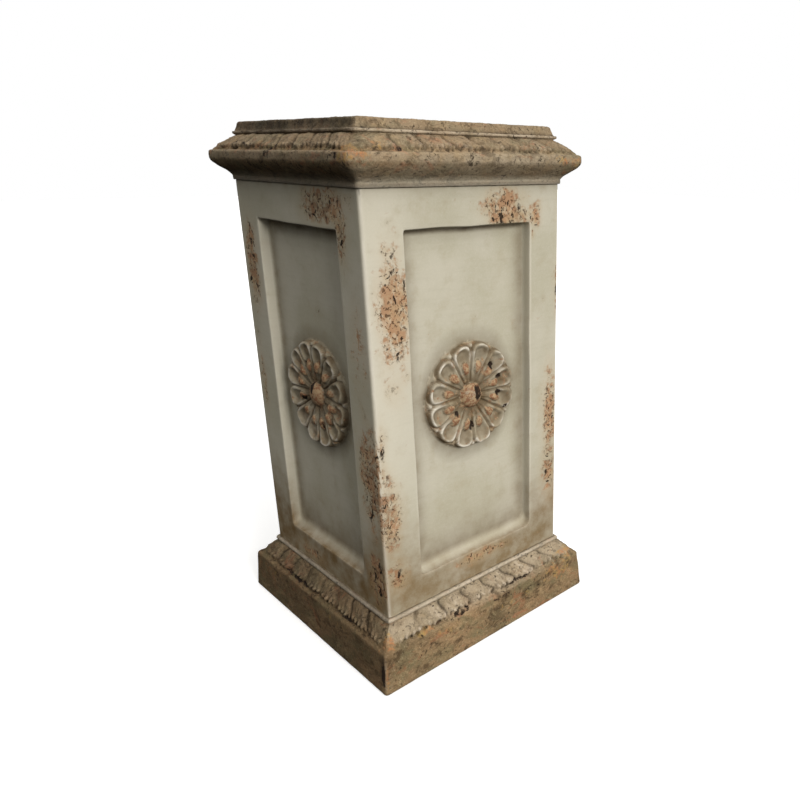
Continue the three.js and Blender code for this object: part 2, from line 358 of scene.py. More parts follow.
baseMarks = dict(
    rub={0: [(-185, 74, 14, 12, 1), (-197, 32, 4, 40, 1), (-128, 66, 18, 6, 1), (-95, 50, 45, 10, 0.7),
             (150, 50, 50, 24, 0.8), (40, 40, 70, 12, 0.6), (170, 74, 34, 6, 0.9), (-60, 15, 90, 8, 0.5)],
         1: [(-150, 60, 40, 10, 0.8), (60, 45, 50, 10, 0.6)],
         2: [(120, 62, 40, 8, 0.8), (-100, 40, 50, 12, 0.6)],
         3: [(186, 76, 12, 15, 1), (60, 52, 60, 8, 0.7), (-140, 50, 60, 14, 0.6)]},
    # a painted highlight along the plinth's near corner
    ridge={0: [(-199, 36, 3, 26, 0.9)]},
    chip={0: [(-60, 66, 22, 5, 0.9), (60, 68, 30, 4, 0.8), (20, 58, 25, 8, 0.6)],
          1: [(40, 66, 30, 4, 0.7)], 2: [(-90, 66, 30, 4, 0.7)],
          3: [(-60, 68, 60, 4, 0.8), (90, 68, 30, 4, 0.7), (197, 36, 4, 24, 1.6)]},
    # Dark marks: a crack at the near corner, and painted shade over the shaded left side's plinth, leaves and bead
    hollow={3: [(193, 38, 7, 26, 1.3), (0, 45, 400, 80, 0.3), (0, 80, 400, 14, 0.42), (0, 93, 900, 5, 0.45)]},
    # a darker wash over the left side's plinth, which is painted shade, and a stain along the near corner
    stain={3: [(0, 40, 600, 70, 0.4)], 0: [(-196, 40, 12, 40, 0.6)]},
    # pale crust on the front's leaf lip and shoulder, together with painted light
    pale={0: [(20, 72, 150, 9, 0.9), (110, 80, 80, 14, 0.9)]},
)


def marked(place, cells, marks):
    # the marks of each side, worked out on the points that lie on it
    along, side = alongSide(place, cells), sideOf(cells)
    layers = [spots(along, place[..., 2], marks.get(k, [])) * (side == k) for k in range(quarterTurns)]
    return sum(layers)


def keepRows(place, cells, marks, **mask):
    # stores swept rows, one loop of points each; each mask is the larger of its own value and the marks
    for name, places in marks.items():
        mask[name] = np.maximum(mask.get(name, 0), marked(place, cells, places))
    spread = {name: np.broadcast_to(value, place.shape[:2]) for name, value in mask.items()}
    return addRows(place, spread)


def leafRows(section, down, corner, seed, marks, fairness):
    # a leaf band: its bed swept at fine columns, raised by the leaves, then eroded
    place = sweep(section, fineCells, corner)
    along = np.tile(columnsOf(fineCells)[0][:-1], quarterTurns)[None, :]
    height, hollow, onLeaf = leafRelief(place, along, down[:, None], sideOf(fineCells)[None, :])
    wear = ease(-0.6, 0.5, mottle(place, 45, seed))
    endWear = 1 - 0.7 * ease(0.84, 0.98, np.abs(along))
    height = height * (0.45 + 0.55 * wear) * endWear + worn(place, 1.5, seed + 5, 9)
    hollow = hollow * (0.6 + 0.4 * wear) * endWear
    moved = carve(place, section, height)
    # painted highlight on the raised leaf parts and painted light on the leaf faces, scaled per side by how much
    # light that side gets
    fair = np.choose(sideOf(fineCells), fairness)[None, :]
    ridge = ease(1.2, 2.6, height) * fair
    return keepRows(moved, fineCells, marks, ornament=1, hollow=hollow, ridge=ridge, pale=onLeaf * fair)


def plainRows(section, cells, corner, roughness, seed, marks, **mask):
    # a plain moulding: its section swept and eroded; a mask has one value for each point of the section
    place = sweep(section, cells, corner)
    if np.any(roughness):
        place = carve(place, section, worn(place, np.reshape(roughness, (-1, 1)), seed))
    shaped = {name: np.reshape(value, (-1, 1)) for name, value in mask.items()}
    return keepRows(place, cells, marks, **shaped)


# The base, from the foot up to the bead on which the shaft stands.
plinthEdge = footHalf - cf["footRound"]
foot = bend((plinthEdge, 0), (footHalf, 0), (footHalf, cf["footRound"]), [0, 0.3, 0.65, 1])
brow = (cf["plinthHead"], cf["plinthTop"] - cf["plinthRound"])
face = straight(foot[-1], brow, [0.04, 0.12, 0.25, 0.4, 0.55, 0.7, 0.85, 0.96])
shoulder = (cf["plinthHead"] - cf["plinthRound"], cf["plinthTop"])
arris = bend(brow, (cf["plinthHead"], cf["plinthTop"]), shoulder, [0.12, 0.4, 0.7])
plinthSection = np.concatenate([foot, face, arris])
places = np.array([1, .97, .945, .92, .895, .865, .83, .78, .71, .63, .54, .45, .36, .27, .19, .12, .055, 0])
baseBed = bandBed((cf["bandHead"], cf["bandTop"]), shoulder, places)
rollFoot, rollHead = (cf["beadHalf"], cf["bandTop"] + 1.2), (cf["shaftHalf"] + 0.6, cf["beadTop"])
roll = bend(rollFoot, (cf["beadHalf"], cf["beadTop"]), rollHead, [0, 0.35, 0.7, 1])
bead = np.concatenate([[(cf["beadHalf"] - 1.0, cf["bandTop"] + 0.2)], roll])
plinthWear = np.interp(np.arange(len(plinthSection)), [0, 3, 6], [0.1, 0.35, 0.8])
footLoops = plainRows(plinthSection, coarseCells, cf["plinthCorner"], plinthWear, 100, baseMarks, ornament=1)
# the last four numbers set the painted light and highlight of each side's leaves: front, right, back, left
leafLoops = leafRows(baseBed, places, cf["bandCorner"], 200, baseMarks, (1.0, 0.7, 0.7, 0.15))
# the bead: painted shade in the creases at its foot and head, a painted highlight along its crest, and pale stone
# with painted light
beadLoops = plainRows(
    bead, fineCells, cf["shaftCorner"], 0.5, 300, baseMarks,
    ornament=0.8, hollow=[.9, .2, 0, .1, .7], ridge=[0, .4, .7, .5, 0], pale=.6)
joinAll(footLoops)
fanLoops(footLoops[-1], leafLoops[0])
joinAll(leafLoops + beadLoops)
faces.append(footLoops[0][::-1].tolist())
print("base done")

# The shaft: on each side rings run from the side's outline, down the panel's wall, over its floor and the rosette.
faceCells = 56
shaftMiddle = (cf["beadTop"] + cf["shaftHead"]) / 2
shaftHigh = (cf["shaftHead"] - cf["beadTop"]) / 2
lineCount = 2 * (coarseCells + faceCells)
lineTurn = -np.pi / 2 + (np.arange(lineCount) - coarseCells / 2) * 2 * np.pi / lineCount
share, turned = columnsOf(coarseCells)


def packed(cells):
    # shares of an edge, packed towards its ends: t - 0.55 sin(2 pi t) / (2 pi)
    t = np.arange(cells) / cells
    return t - 0.55 * np.sin(2 * np.pi * t) / (2 * np.pi)


def outlineRing(inset, turnShare):
    # ring beside the side's outline: inset from head and foot, and round the corner arc by a share of its turn
    flat, flatOut = onSide(share, turned, cf["shaftHalf"], cf["shaftCorner"])
    edgeX, edgeOut = onSide(1, np.pi / 4 * turnShare, cf["shaftHalf"], cf["shaftCorner"])
    level = np.linspace(-1, 1, faceCells + 1)[:-1] * (shaftHigh - inset)
    flat = flat * edgeX / flat[-1]
    flatOut = np.maximum(flatOut, edgeOut)
    x = np.concatenate([flat[:-1], np.full(faceCells, edgeX), flat[:0:-1], np.full(faceCells, -edgeX)])
    out = np.concatenate([flatOut[:-1], np.full(faceCells, edgeOut), flatOut[:0:-1], np.full(faceCells, edgeOut)])
    rail = np.full(coarseCells, shaftHigh - inset)
    z = np.concatenate([-rail, level, rail, -level])
    return np.stack([x, out, z + shaftMiddle], axis=-1)


def panelRing(inset, depth):
    # ring of the panel's wall: a rectangle with rounded corners, drawn in by inset and sunk by depth;
    # its foot is a cove, run * (1 - root(1 - depth share^2))
    wide = pf["halfWidth"] - inset
    sunk = np.clip((depth - pf["arris"]) / (pf["depth"] - pf["arris"]), 0, 1)
    coved = pf["footRun"] * (1 - np.sqrt(1 - sunk ** 2)) + max(inset - pf["wallRun"], 0)
    low = pf["foot"] + (coved if inset > 0 else inset)
    high = pf["head"] - inset
    across, upward = packed(coarseCells), packed(faceCells)
    one, other = np.ones(coarseCells), np.ones(faceCells)
    x = np.concatenate([across * 2 - 1, other, 1 - across * 2, -other]) * wide
    z = np.concatenate([low * one, low + upward * (high - low), high * one, high + upward * (low - high)])
    middle = (low + high) / 2
    lowCorner = np.where(x < 0, *pf["footCorners"]) + 1.2 * max(inset, 0)
    corner = np.where(z < middle, lowCorner, pf["headCorner"] + 0.4 * max(inset, 0))
    nearX, nearZ = wide - np.abs(x), (high - low) / 2 - np.abs(z - middle)
    far = np.maximum(nearX, nearZ)
    turn = np.pi / 4 * np.clip(1 - far / corner, 0, 1)
    more, less = corner * np.cos(turn) - corner, corner * np.sin(turn) - corner
    onFlat = nearZ <= nearX
    bent = far < corner
    x = np.where(bent, np.sign(x) * (wide + np.where(onFlat, less, more)), x)
    z = np.where(bent, middle + np.sign(z - middle) * ((high - low) / 2 + np.where(onFlat, more, less)), z)
    return np.stack([x, np.full(lineCount, cf["shaftHalf"] - depth), z], axis=-1)


rings = [outlineRing(0, 1), outlineRing(1.5, 0.5), outlineRing(3.5, 0)]
stile = outlineRing(6.5, 0)
stile[:, 0] = np.clip(stile[:, 0], -cf["shaftHalf"] + 7.5, cf["shaftHalf"] - 7.5)
edge = panelRing(-pf["arris"] - 3, 0)
rings += [stile + (edge - stile) * step for step in (0, 0.25, 0.52, 0.8, 1)]
arrisStart = len(rings)
for turn in np.radians([0, 30, 60, 90]):
    rings.append(panelRing(-pf["arris"] * (1 - np.sin(turn)), pf["arris"] * (1 - np.cos(turn))))
steep = (0.18 * pf["wallRun"], 0.76 * pf["depth"])
wall = straight((0.02, pf["arris"]), steep, [0.3, 0.65, 1])
wallPull, wallFoot = (0.27 * pf["wallRun"], pf["depth"]), (pf["wallRun"], pf["depth"])
wall = np.concatenate([wall, bend(steep, wallPull, wallFoot, [0.3, 0.6, 1])])
rings += [panelRing(inset, depth) for inset, depth in wall]
floor = panelRing(pf["wallRun"] + 2.5, pf["depth"])
skirt = rf["radius"] + 3.5
floorOut = cf["shaftHalf"] - pf["depth"]
unit = lineTurn / (2 * np.pi) * rf["petals"]
plateEdge = rf["radius"] * (1 - 0.03 * (2 * (unit - np.floor(unit)) - 1) ** 2)


def circleRing(reach, turn, height):
    # ring of the rosette at a reach from its middle, raised above the panel's floor
    x, z = reach * np.cos(turn), reach * np.sin(turn) + rf["level"]
    return np.stack(np.broadcast_arrays(x, floorOut + height, z), axis=-1)


def petalRing(reach, turn):
    # ring of the rosette at the height of its petals
    return circleRing(reach, turn, petalRelief(reach * np.cos(turn), reach * np.sin(turn))[0])


circle = circleRing(skirt, lineTurn, 0)
rings += [floor + (circle - floor) * step for step in (0, 0.08, 0.22, 0.42, 0.65, 0.85, 1)]
rings += [circleRing(plateEdge + out, lineTurn, lift) for out, lift in ((2.2, 0.2), (1.2, 1.2), (0.5, 2.8))]
rosetteStart = len(rings)
ringReach = np.concatenate([
    [1, .99, .98, .97, .958, .945, .93, .914, .897, .88, .862, .843],
    np.linspace(0.823, 0.45, 16), [.42, .388, .355, .32, .285, .255]])
rings += [petalRing(plateEdge * reach, lineTurn) for reach in ringReach]
domeTurn = lineTurn[::4]
domeReach = (1, .96, .88, .75, .58, .38, .18)
domeRings = [petalRing(rf["domeRadius"] * reach, domeTurn) for reach in domeReach]

sideGrid, domeGrid = np.stack(rings), np.stack(domeRings)
flakes = {0: [(-128, 528, 24, 72, 1.12), (-128, 600, 18, 18, 0.6), (-131, 440, 20, 40, 0.4),
              (58, 660, 42, 18, 0.9), (70, 639, 42, 12, 1.1), (118, 640, 13, 18, 0.9), (115, 612, 4, 9, 1),
              (-160, 335, 7, 50, 0.6), (-156, 248, 18, 58, 0.95), (-150, 158, 18, 30, 0.75),
              (151, 330, 16, 80, 0.9), (150, 230, 17, 60, 0.8), (165, 525, 5, 40, 0.95), (2, 128, 50, 10, 0.8)],
          1: [(-148, 250, 16, 70, 0.95), (60, 656, 40, 19, 0.95), (140, 480, 16, 55, 0.9), (20, 120, 40, 12, 0.6)],
          2: [(-128, 500, 18, 70, 0.95), (90, 652, 40, 19, 0.9), (150, 220, 16, 70, 0.95), (-30, 122, 40, 12, 0.6)],
          3: [(80, 656, 56, 23, 1.0), (120, 622, 14, 34, 1.0), (-138, 560, 19, 62, 1.05),
              (-150, 380, 10, 50, 0.7), (-54, 112, 40, 13, 0.8),
              (146, 300, 26, 85, 0.9), (165, 290, 6, 80, 1.1), (146, 150, 26, 44, 0.85), (140, 480, 20, 60, 0.5)]}
mid = rf["level"]
chips = {0: [(7, mid + 3, 8, 12, 1.2), (-3, mid - 45, 6, 9, 1), (38, mid + 38, 7, 7, 1),
             (50, mid + 19, 7, 6, 1), (50, mid - 6, 8, 6, 1), (62, mid - 30, 7, 5, 0.9), (-28, mid - 22, 5, 6, 0.8)],
         1: [(-10, mid + 5, 6, 8, 1), (40, mid - 20, 6, 6, 1)],
         2: [(8, mid - 6, 6, 8, 1), (-38, mid + 25, 7, 6, 1)],
         3: [(-2, mid + 10, 6, 9, 1), (-20, mid + 42, 5, 9, 1), (-38, mid - 14, 8, 6, 0.9),
             (15, mid - 45, 6, 9, 0.8)]}
# paler paint: on the front's near stile it is painted light, brighter where the light falls
fairPaint = {0: [(-150, 480, 60, 240, 1.0)], 2: [(60, 420, 90, 200, 0.6)]}


def faceTurn(place, quarter):
    # across, out and level of the front side turned onto one of the four sides
    x, out, z = place[..., 0], place[..., 1], place[..., 2]
    turns = [(x, -out), (out, x), (-x, out), (-out, -x)]
    return np.stack([turns[quarter][0], turns[quarter][1], z], axis=-1)


def faceMasks(grid, quarter):
    # masks of one side's grid: bells and exponentials of the distance to the panel's edges, the rosette,
    # the corners and the foot, broken up by noise; several of them are painted shade, painted shadows and painted
    # highlights
    x, out, z = grid[..., 0], grid[..., 1], grid[..., 2]
    rim, cavity, rub = petalRelief(x, z - rf["level"])[1:]
    reach = np.hypot(x, z - rf["level"])
    onRosette = reach < rf["radius"] + 0.3
    sunk = ease(1.0, 13.0, cf["shaftHalf"] - out) * ~onRosette
    toSide = np.clip(pf["halfWidth"] - pf["wallRun"] * 0.3 - np.abs(x), 0, None)
    toFoot = np.abs(z - pf["foot"] - pf["footRun"])
    toHead = np.clip(pf["head"] - pf["wallRun"] * 0.3 - z, 0, None)
    floorOnly = ease(12.5, 15.5, cf["shaftHalf"] - out) * ~onRosette
    # brown glaze along the floor's sides and foot, and a painted shadow under the panel's head, deepest on the
    # shaded left side
    headReach = (6, 9, 9, 12)[quarter]
    sideGlaze, footGlaze = 0.62 * bell(toSide, 0, 17), 0.6 * np.exp(-toFoot / 20)
    glaze = floorOnly * np.maximum.reduce([sideGlaze, footGlaze, bell(toHead, 0, headReach)])
    # painted shadow on the panel's floor round the rosette
    halo = sunk * np.exp(-np.clip(reach - rf["radius"], 0, None) / 8)
    # painted shade on the shaft just under the cap
    underCap = np.exp(-(cf["shaftHead"] - z) / 6)
    washTop = z - 45 * (np.abs(x) / cf["shaftHalf"]) ** 3 + 5
    # umber wash towards the shaft's foot, stronger on the left side, where the extra is painted shade
    low = (0.9, 0.9, 0.9, 1.15)[quarter] * (1 - ease(100, 270, washTop)) * (1 - 0.55 * sunk)
    # worn paint with a painted highlight along the shaft's corners
    edgeWear = bell(np.abs(x), cf["shaftHalf"], 3.0)
    # worn paint with a painted highlight along the panel's edges, stronger at the foot, which faces up, than at the
    # head
    arrisX = bell(np.abs(x), pf["halfWidth"] + 0.6, 1.8) * (z > pf["foot"] - 3) * (z < pf["head"] + 3)
    arrisZ = np.maximum(bell(z, pf["foot"] - 0.6, 2.2), 0.4 * bell(z, pf["head"] + 0.6, 1.8))
    arrisZ = arrisZ * (np.abs(x) < pf["halfWidth"] + 3)
    spotted = grid + 500.0 * quarter
    broken = ease(-0.5, 0.25, mottle(spotted, 9, 470, 2) - 0.35 * ease(0, 60, x))
    dirt = 0.5 * ease(0.0, 0.6, mottle(spotted, 11, 480, 2))
    dirt = dirt + 0.35 * ease(0, 50, x) * ease(-0.3, 0.4, mottle(spotted, 16, 490, 2))
    # painted highlight on the rosette's rims, broken up and fewer on the right half; off the rosette, worn paint and
    # painted highlight on the corners
    ridge = np.where(onRosette, rim * broken, 0.7 * edgeWear)
    grime = cavity * (1, 1, 1, 0.85)[quarter] + dirt * (1, 1, 1, 0.4)[quarter] * (1 - rim * broken)
    # on the rosette, glaze and painted shade in its cavities with darker blotches, more of them on the right half;
    # elsewhere glaze, the head's shadow, the rosette's shadow and the shade under the cap
    hollow = np.clip(np.where(onRosette, grime, glaze + 0.9 * halo + 0.55 * underCap), 0, 1)
    flake = spots(x, z, flakes[quarter]) * (1 - sunk) * ~onRosette
    chip = spots(x, z, chips[quarter]) * onRosette
    # a wash on the rosette; elsewhere the umber wash low down, with painted shade on the left side
    stain = np.where(onRosette, 0.65, np.clip(low, 0, 1))
    # pale paint and painted highlight on the panel's edges, together with the painted light of the near stile
    arris = 0.9 * np.maximum(arrisX, arrisZ) * ~onRosette
    pale = np.maximum(spots(x, z, fairPaint.get(quarter, [])), arris)
    return dict(hollow=hollow, ridge=ridge, rub=rub * onRosette, flake=flake, chip=chip, stain=stain, pale=pale)


ringNumber = np.arange(len(rings))
wallRise = ease(arrisStart - 3, arrisStart, ringNumber) * (1 - ease(arrisStart + 10, arrisStart + 13, ringNumber))
for quarter in range(quarterTurns):
    place = faceTurn(sideGrid, quarter)
    normal = faceTurn(np.array([0.0, 1.0, 0.0]), quarter)
    rough = ease(2.5, 7, ringNumber)[:, None]
    onPetals = (ringNumber >= rosetteStart)[:, None]
    swell = rough * (0.6 * mottle(place, 70, 400) - 0.3 + 0.15 * mottle(place, 9, 410, 2))
    wornPetals = onPetals * (1 + 0.9 * ease(15, 50, sideGrid[..., 0]))
    swell = swell + wornPetals * (1.3 * mottle(place, 8, 440, 2) - 0.5)
    warp = wallRise[:, None] * 1.3
    aside, up = warp * mottle(place, 65, 450, 2), warp * mottle(place, 55, 460, 2)
    drift = faceTurn(np.stack([aside, np.zeros(up.shape), up], axis=-1), quarter)
    masksHere = faceMasks(sideGrid, quarter)
    swell = swell - 2.2 * ease(0.4, 0.8, masksHere["chip"])
    place = place + normal * swell[..., None] + drift
    loops = addRows(place, masksHere)
    domePlace = faceTurn(domeGrid, quarter)
    domePlace = domePlace + normal * (0.6 * mottle(domePlace, 12, 430) - 0.4)[..., None]
    domeLoops = addRows(domePlace, faceMasks(domeGrid, quarter))
    joinAll(loops)
    fanLoops(domeLoops[0], loops[-1])
    joinAll(domeLoops)
    faces.append(domeLoops[-1].tolist())
rowAcross, rowOut = onSide(share[:-1], turned[:-1], cf["shaftHalf"], cf["shaftCorner"])
shaftRow = roundSides(rowAcross, rowOut, np.full(coarseCells, cf["beadTop"]))
# painted shade, with the umber wash, in the crease where the shaft meets the bead
shaftFoot = addPoints(shaftRow, hollow=0.8, stain=1)
fanLoops(shaftFoot, beadLoops[-1])
headRow = shaftRow.copy()
headRow[:, 2] = cf["shaftHead"]
# painted shade in the crease under the fillet
shaftHead = addPoints(headRow, hollow=0.9)
print("shaft done")

# The cap, from the fillet under it up to its flat top.
fillet = np.array([
    (cf["filletHalf"] - 0.9, cf["shaftHead"]), (cf["filletHalf"], cf["shaftHead"] + 0.8),
    (cf["filletHalf"] + 0.1, cf["filletTop"] - 1.2)])
cyma = sway(
    (cf["filletHalf"], cf["filletTop"]), (cf["filletHalf"] + 4.5, cf["filletTop"] + 10),
    (cf["fasciaHalf"] - 2.5, cf["fasciaFoot"] - 11), (cf["fasciaHalf"], cf["fasciaFoot"]),
    [0.03, .1, .2, .3, .4, .5, .6, .7, .8, .9, 1])
fascia = straight(cyma[-1], (cf["fasciaHalf"], cf["fasciaTop"] - cf["fasciaRound"]), [.33, .66, 1])
capShoulder = (cf["fasciaHalf"] - cf["fasciaRound"], cf["fasciaTop"])
eyebrow = bend(fascia[-1], (cf["fasciaHalf"], cf["fasciaTop"]), capShoulder, [.25, .5, .75])
capBed = bandBed((cf["capBandHead"], cf["capBandTop"]), capShoulder, places)
ledge = np.array([
    (cf["ledgeHalf"] - 0.8, cf["capBandTop"] + 0.1), (cf["ledgeHalf"], cf["capBandTop"] + 0.9),
    (cf["ledgeHalf"], cf["ledgeTop"] - 0.9), (cf["ledgeHalf"] - 0.8, cf["ledgeTop"] - 0.1),
    (cf["slabFoot"], cf["ledgeTop"] + 0.2)])
slab = straight(ledge[-1], (cf["slabHead"], columnTop - cf["slabRound"]), [.25, .6, .95])
brinkEnd = (cf["slabHead"] - cf["slabRound"], columnTop)
brink = bend(slab[-1], (cf["slabHead"], columnTop), brinkEnd, [.25, .5, .75, 1])
# the fillet: painted shade in the crease under it and a painted highlight on its edge
filletLoops = plainRows(
    fillet, coarseCells, cf["shaftCorner"], 0.3, 500, capMarks,
    ornament=[.55, .55, .65], hollow=[.9, .45, .5], ridge=[.1, .4, .2])
capSection = np.concatenate([cyma, fascia, eyebrow])
capStep = np.arange(len(capSection))
capCorner = np.interp(capStep, [0, 10], [cf["shaftCorner"], cf["fasciaCorner"]])
cymaStone = np.interp(capStep, [0, 4], [0.55, 1])
fasciaPale = np.interp(capStep, [9, 11], [0, 0.5])
cymaLoops = plainRows(capSection, coarseCells, capCorner, 0.9, 520, capMarks, ornament=cymaStone, pale=fasciaPale)
# the last four numbers set the painted light and highlight of each side's leaves: front, right, back, left
capLeafLoops = leafRows(capBed, places, cf["fasciaCorner"], 600, capMarks, (0.3, 0.5, 0.5, 0.3))
topSection = np.concatenate([ledge, slab, brink])
# ledge and slab: painted shade in the ledge's creases, a painted highlight on its edge, and pale stone with painted
# light
ledgeLoops = plainRows(
    topSection, fineCells, cf["slabCorner"], 1.2, 700, capMarks, ornament=1,
    hollow=[.4, 0, 0, .1, .8, .3] + [0] * 6, ridge=[0, .6, .7, .4] + [0] * 8, pale=[.6] * 4 + [.3] * 8)
topHalf = (cf["slabHead"] - 12, 125, 85, 45, 15)
topRows = np.array([(half, columnTop - 0.5) for half in topHalf])
topLoops = plainRows(topRows, coarseCells, cf["slabCorner"], 0, 0, capMarks, ornament=1)
joinLoops(shaftHead, filletLoops[0])
joinAll(filletLoops + cymaLoops)
fanLoops(cymaLoops[-1], capLeafLoops[0])
joinAll(capLeafLoops + ledgeLoops)
fanLoops(topLoops[0], ledgeLoops[-1])
joinAll(topLoops)
faces.append(topLoops[-1].tolist())
print("cap done")

allPoints = np.concatenate(points)
allMasks = np.concatenate(masks)
allPoints[:, :2] = np.clip(allPoints[:, :2], -footHalf, footHalf)
allPoints[:, 2] = np.clip(allPoints[:, 2], 0, columnTop)
castingMesh = bpy.data.meshes.new("columnCasting")
castingMesh.from_pydata((allPoints / 1000).tolist(), [], faces)
for name, column in zip(maskNames, allMasks.T):
    layer = castingMesh.attributes.new(name, "FLOAT", "POINT")
    layer.data.foreach_set("value", np.ascontiguousarray(column, dtype=np.float32))
joined = bmesh.new()
joined.from_mesh(castingMesh)
bmesh.ops.remove_doubles(joined, verts=joined.verts, dist=1e-5)
bmesh.ops.recalc_face_normals(joined, faces=joined.faces)
openEdges = sum(len(edge.link_faces) != 2 for edge in joined.edges)
triangles = sum(len(face.verts) - 2 for face in joined.faces)
joined.to_mesh(castingMesh)
joined.free()
castingMesh.polygons.foreach_set("use_smooth", np.ones(len(castingMesh.polygons), bool))
casting = bpy.data.objects.new("columnCasting", castingMesh)
bpy.context.scene.collection.objects.link(casting)
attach(casting, "root")
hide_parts("resin_column")
print("casting:", triangles, "triangles,", openEdges, "open edges")


def shade(text):
    # linear colour of a six-figure display colour
    part = np.array([int(text[k:k + 2], 16) for k in (0, 2, 4)]) / 255
    linear = np.where(part <= 0.04045, part / 12.92, ((part + 0.055) / 1.055) ** 2.4)
    return (*linear.tolist(), 1.0)


resin = bpy.data.materials.new("agedResin")
resin.use_nodes = True
tree = resin.node_tree
shader = tree.nodes["Principled BSDF"]


def connect(value, socket):
    # a node's output is linked, a plain value is set
    if isinstance(value, bpy.types.NodeSocket):
        tree.links.new(value, socket)
    else:
        socket.default_value = value


def attribute(name):
    node = tree.nodes.new("ShaderNodeAttribute")
    node.attribute_name = name
    return node.outputs["Fac"]


def noise(coords, scale, detail=4.0, roughness=0.55, distortion=0.0):
    node = tree.nodes.new("ShaderNodeTexNoise")
    connect(coords, node.inputs["Vector"])
    for name, value in (("Scale", scale), ("Detail", detail), ("Roughness", roughness), ("Distortion", distortion)):
        node.inputs[name].default_value = value
    return node.outputs["Fac"]


def spread(value, low, high, out=(0.0, 1.0)):
    # eased step of a value from low to high
    node = tree.nodes.new("ShaderNodeMapRange")
    node.interpolation_type = "SMOOTHSTEP"
    connect(value, node.inputs["Value"])
    for name, number in (("From Min", low), ("From Max", high), ("To Min", out[0]), ("To Max", out[1])):
        node.inputs[name].default_value = number
    return node.outputs["Result"]


def calc(kind, one, other=0.0):
    node = tree.nodes.new("ShaderNodeMath")
    node.operation = kind
    connect(one, node.inputs[0])
    connect(other, node.inputs[1])
    return node.outputs[0]


def times(one, other):
    return calc("MULTIPLY", one, other)


def plus(one, other):
    return calc("ADD", one, other)


def blend(share, under, over, kind="MIX"):
    node = tree.nodes.new("ShaderNodeMix")
    node.data_type = "RGBA"
    node.blend_type = kind
    connect(share, node.inputs[0])
    connect(under, node.inputs[6])
    connect(over, node.inputs[7])
    return node.outputs[2]


coords = tree.nodes.new("ShaderNodeTexCoord").outputs["Object"]
brushed = tree.nodes.new("ShaderNodeMapping")
brushed.inputs["Scale"].default_value = (0.12, 0.12, 1)
connect(coords, brushed.inputs["Vector"])
# Blotches lie flat and chips stand upright.
lying, tall = [tree.nodes.new("ShaderNodeMapping") for count in range(2)]
lying.inputs["Scale"].default_value = (0.6, 0.6, 1)
tall.inputs["Scale"].default_value = (1, 1, 0.6)
for node in (lying, tall):
    connect(coords, node.inputs["Vector"])
ornament, hollow, ridge, rub, flake, chip, stain, pale = [attribute(name) for name in maskNames]
broad = noise(coords, 9, 5)
patchy = noise(coords, 38, 6, 0.62)
ragged = noise(coords, 75, 7, 0.68, 0.3)
grain = noise(coords, 420, 3, 0.6)
speck = noise(coords, 210, 3, 0.6, 0.5)
stroke = noise(brushed.outputs["Vector"], 160, 4, 0.6)

# Paint of the shaft: putty with faint brush strokes, pale paint with painted light, an umber wash low down with
# painted shade on the left side, a brown glaze in the recesses with painted shade, and worn paint with painted
# highlights.
paint = blend(spread(broad, 0.35, 0.65), shade("b9b3a1"), shade("aea893"))
paint = blend(spread(stroke, 0.45, 0.85, (0.0, 0.2)), paint, shade("968e79"))
paint = blend(spread(grain, 0.4, 0.8, (0.0, 0.2)), paint, shade("cac3b3"))
# pale paint together with painted light
paint = blend(times(pale, spread(broad, 0.3, 0.7, (0.35, 0.7))), paint, shade("cfc8b7"))
paint = blend(spread(patchy, 0.5, 0.75, (0.0, 0.25)), paint, shade("98896b"))
# umber wash, with painted shade on the left side
paint = blend(times(stain, spread(patchy, 0.25, 0.7, (0.5, 1.0))), paint, shade("735d3d"))
# brown glaze together with painted shade in recesses, under the cap and the panel heads and round the rosette
paint = blend(times(hollow, spread(patchy, 0.2, 0.75, (0.6, 0.95))), paint, shade("5a4932"))
# worn paint together with painted highlights on the rosette's rims and the shaft's corners
paint = blend(times(ridge, spread(patchy, 0.3, 0.7, (0.55, 0.98))), paint, shade("e2dbcd"))
rubbed = spread(plus(rub, times(plus(ragged, -0.5), 1.6)), 0.45, 0.75, (0.0, 0.95))
paint = blend(rubbed, paint, blend(spread(speck, 0.4, 0.6), shade("80593f"), shade("a28868")))

# Flaked places: a tan wash, bare tan and brown ground with islands of paint, dark veins, and bold black chips.
paint = blend(times(flake, spread(patchy, 0.3, 0.7, (0.25, 0.85))), paint, shade("b0926a"))
bare = spread(plus(flake, times(plus(ragged, -0.5), 3.2)), 0.45, 1.0)
ground = blend(spread(broad, 0.42, 0.58), shade("a5825f"), shade("866a4e"))
ground = blend(spread(patchy, 0.45, 0.65, (0.0, 0.8)), ground, shade("b09272"))
ground = blend(spread(ragged, 0.48, 0.6, (0.0, 0.5)), ground, shade("9c6c4c"))
islands = noise(tall.outputs["Vector"], 120, 4, 0.6, 0.6)
ground = blend(spread(islands, 0.54, 0.64, (0.0, 0.55)), ground, shade("c2b49b"))
paint = blend(times(bare, 0.85), paint, ground)
vein = times(spread(speck, 0.55, 0.63), spread(plus(flake, times(plus(patchy, -0.5), 2.0)), 0.3, 0.7))
paint = blend(times(vein, 0.8), paint, shade("4c3826"))
crack = noise(tall.outputs["Vector"], 95, 4, 0.55, 0.8)
black = times(spread(crack, 0.6, 0.64), spread(plus(flake, times(plus(patchy, -0.5), 1.4)), 0.35, 0.6))
paint = blend(times(black, 0.95), paint, shade("231a13"))

# Weathered stone colour of cap and base: tan and umber, olive and orange blotches, pale worn leaves together with
# painted light, painted highlights on edges, dark pits, and near-black glaze with painted shade in creases and on
# the shaded left side.
stone = blend(spread(broad, 0.35, 0.65), shade("967a59"), shade("7c674b"))
olive = noise(lying.outputs["Vector"], 34, 5, 0.6, 0.4)
stone = blend(spread(olive, 0.42, 0.64, (0.0, 0.75)), stone, shade("71684b"))
